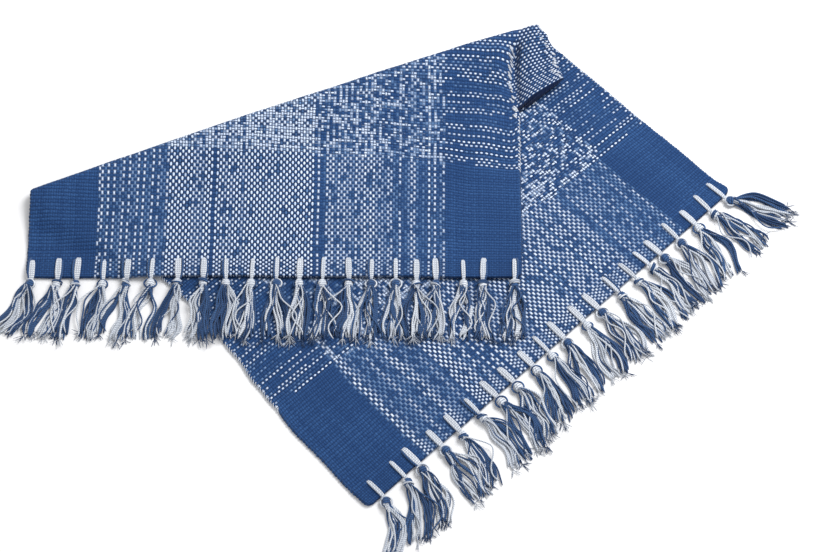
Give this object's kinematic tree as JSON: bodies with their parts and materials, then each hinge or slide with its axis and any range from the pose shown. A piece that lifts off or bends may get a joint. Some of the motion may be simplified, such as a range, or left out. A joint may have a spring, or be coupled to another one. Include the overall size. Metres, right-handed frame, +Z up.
{
  "type": "folded dhurrie rug",
  "caption": "Small flat-woven cotton rug with indigo borders, a white striped middle and knotted tassels on both ends, lying folded over once.",
  "frame": {"origin": "middle of the whole object's box seen from above, on the surface that the rug lies on", "axes": "+X along the upper layer's tasselled end, +Z up, +Y away from that end towards the fold"},
  "size_m": [0.9558, 0.734, 0.0276],
  "materials": {
    "cloth": "plain flat weave in indigo and white cotton, matt",
    "tassel": "plied cotton yarn, natural white and indigo mixed, matt"
  },
  "bodies": {
    "root": {"cloth": "cloth", "lower_tassel_01": "tassel", "lower_tassel_02": "tassel", "lower_tassel_03": "tassel", "lower_tassel_04": "tassel", "lower_tassel_05": "tassel", "lower_tassel_06": "tassel", "lower_tassel_07": "tassel", "lower_tassel_08": "tassel", "lower_tassel_09": "tassel", "lower_tassel_10": "tassel", "lower_tassel_11": "tassel", "lower_tassel_12": "tassel", "lower_tassel_13": "tassel", "lower_tassel_14": "tassel", "lower_tassel_15": "tassel", "lower_tassel_16": "tassel", "lower_tassel_17": "tassel", "lower_tassel_18": "tassel", "lower_tassel_19": "tassel", "lower_tassel_20": "tassel", "lower_tassel_21": "tassel", "upper_tassel_01": "tassel", "upper_tassel_02": "tassel", "upper_tassel_03": "tassel", "upper_tassel_04": "tassel", "upper_tassel_05": "tassel", "upper_tassel_06": "tassel", "upper_tassel_07": "tassel", "upper_tassel_08": "tassel", "upper_tassel_09": "tassel", "upper_tassel_10": "tassel", "upper_tassel_11": "tassel", "upper_tassel_12": "tassel", "upper_tassel_13": "tassel", "upper_tassel_14": "tassel", "upper_tassel_15": "tassel", "upper_tassel_16": "tassel", "upper_tassel_17": "tassel", "upper_tassel_18": "tassel", "upper_tassel_19": "tassel", "upper_tassel_20": "tassel", "upper_tassel_21": "tassel"}
  },
  "joints": []
}
